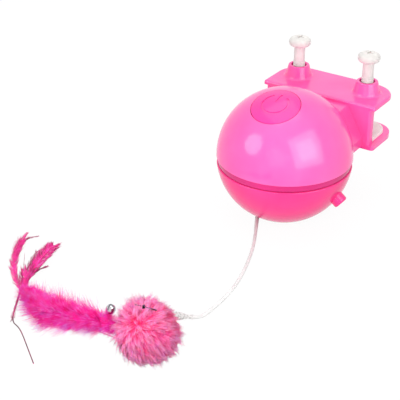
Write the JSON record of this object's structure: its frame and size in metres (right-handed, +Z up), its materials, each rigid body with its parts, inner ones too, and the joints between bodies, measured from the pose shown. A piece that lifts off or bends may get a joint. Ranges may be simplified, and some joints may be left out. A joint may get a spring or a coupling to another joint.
{
  "type": "automatic cat laser toy",
  "caption": "Ball-shaped cat toy with a turning lower half that carries a laser and a corded fur teaser, clamped to a table edge by screws.",
  "frame": {"origin": "centre of the small flat foot under the lower dome", "axes": "+Z up along the ball's vertical axis, +Y from the ball towards the table clamp, -Y the front that carries the button and the cord"},
  "size_m": [0.1687, 0.3034, 0.1002],
  "materials": {
    "shell_pink": "glossy moulded plastic",
    "lower_pink": "glossy moulded plastic",
    "belt_pink": "satin moulded plastic",
    "button_pink": "glossy moulded plastic",
    "inner_plastic": "natural moulded plastic",
    "gear_plastic": "natural acetal",
    "clear_screw": "milky translucent plastic",
    "clamp_pad": "pale grey soft foam",
    "steel": "zinc plated",
    "motor_can": "plated can",
    "cell_jacket": "printed jacket, bare",
    "brass_contact": "plated contact",
    "board": "solder mask",
    "switch_body": "moulded",
    "laser_brass": "turned",
    "lens_clear": "clear",
    "cord_white": "soft white cord",
    "connector_clear": "clear soft plastic",
    "fur_pink": "long soft fur",
    "boa_pink": "fine down",
    "feather_pink": "dyed feather",
    "bell_silver": "plated",
    "stitch_black": "black thread"
  },
  "bodies": {
    "housing": {"upper_shell": "shell_pink", "jaw_pad": "clamp_pad", "chassis": "belt_pink", "gearbox_cover": "inner_plastic", "gear_axle": "steel", "drive_motor": "motor_can", "battery_tray": "inner_plastic", "contacts_inner": "brass_contact", "battery_cell_1": "cell_jacket", "battery_cell_2": "cell_jacket", "battery_cell_3": "cell_jacket", "circuit_board": "board", "tact_switch": "switch_body", "board_screws": "steel", "slip_ring": "board", "slip_tracks": "brass_contact", "chassis_screws": "steel", "cover_screws": "steel"},
    "rotor": {"lower_dome": "lower_pink", "turntable": "inner_plastic", "rotor_shaft": "steel", "shaft_clip": "steel", "output_gear": "gear_plastic", "turntable_screws": "steel", "brush_block": "inner_plastic", "brushes": "brass_contact", "laser_nozzle": "lower_pink", "laser_module": "laser_brass", "laser_lens": "lens_clear", "cord_gland": "inner_plastic", "cord_sleeve": "cord_white", "cord": "cord_white", "cord_connector": "connector_clear", "fur_ball": "fur_pink", "feather_boa": "boa_pink", "jingle_bell": "bell_silver", "eye_stitch": "stitch_black", "feather_curved": "feather_pink", "feather_wide": "feather_pink", "feather_slender": "feather_pink", "feather_trailing": "feather_pink"},
    "button": {"power_button": "button_pink", "switch_plunger": "gear_plastic"},
    "door": {"battery_door": "shell_pink", "door_screw": "steel", "contacts_door": "brass_contact"},
    "compound": {"compound_gear": "gear_plastic"},
    "pinion": {"motor_pinion": "gear_plastic"},
    "left_pad": {"pressure_pad_left": "clear_screw"},
    "right_pad": {"pressure_pad_right": "clear_screw"},
    "left_screw": {"clamp_screw_left": "clear_screw"},
    "right_screw": {"clamp_screw_right": "clear_screw"}
  },
  "joints": [
    {"name": "rotor_spin", "type": "hinge", "parent": "housing", "child": "rotor", "pos_m": [0, 0, 0.03687], "axis": [0, 0, 1], "continuous": true},
    {"name": "compound_spin", "type": "hinge", "parent": "housing", "child": "compound", "pos_m": [0.00378, -0.01452, 0.04337], "axis": [0, 0, 1], "continuous": true},
    {"name": "pinion_spin", "type": "hinge", "parent": "housing", "child": "pinion", "pos_m": [-0.00735, -0.0202, 0.04837], "axis": [0, 0, 1], "continuous": true},
    {"name": "button_press", "type": "slide", "parent": "housing", "child": "button", "axis": [0, 0.3338, -0.9426], "range_m": [0, 0.0012], "stiffness_N_per_m": 800, "springref_m": -0.001},
    {"name": "battery_door_pull", "type": "slide", "parent": "housing", "child": "door", "axis": [-0.9397, 0.342, 0], "range_m": [0, 0.02]},
    {"name": "left_pad_travel", "type": "slide", "parent": "housing", "child": "left_pad", "axis": [0, 0, -1], "range_m": [0, 0.0125]},
    {"name": "left_screw_turn", "type": "hinge", "parent": "left_pad", "child": "left_screw", "pos_m": [-0.0263, 0.0627, 0.09], "axis": [0, 0, -1], "range_deg": [0, 3600]},
    {"name": "right_pad_travel", "type": "slide", "parent": "housing", "child": "right_pad", "axis": [0, 0, -1], "range_m": [0, 0.0125]},
    {"name": "right_screw_turn", "type": "hinge", "parent": "right_pad", "child": "right_screw", "pos_m": [0.0263, 0.0627, 0.09], "axis": [0, 0, -1], "range_deg": [0, 3600]}
  ],
  "couplings": [
    {"joint": "compound_spin", "follows": "rotor_spin", "ratio": -4},
    {"joint": "pinion_spin", "follows": "rotor_spin", "ratio": 16},
    {"joint": "left_screw_turn", "follows": "left_pad_travel", "rad_per_m": 5026.5},
    {"joint": "right_screw_turn", "follows": "right_pad_travel", "rad_per_m": 5026.5}
  ]
}
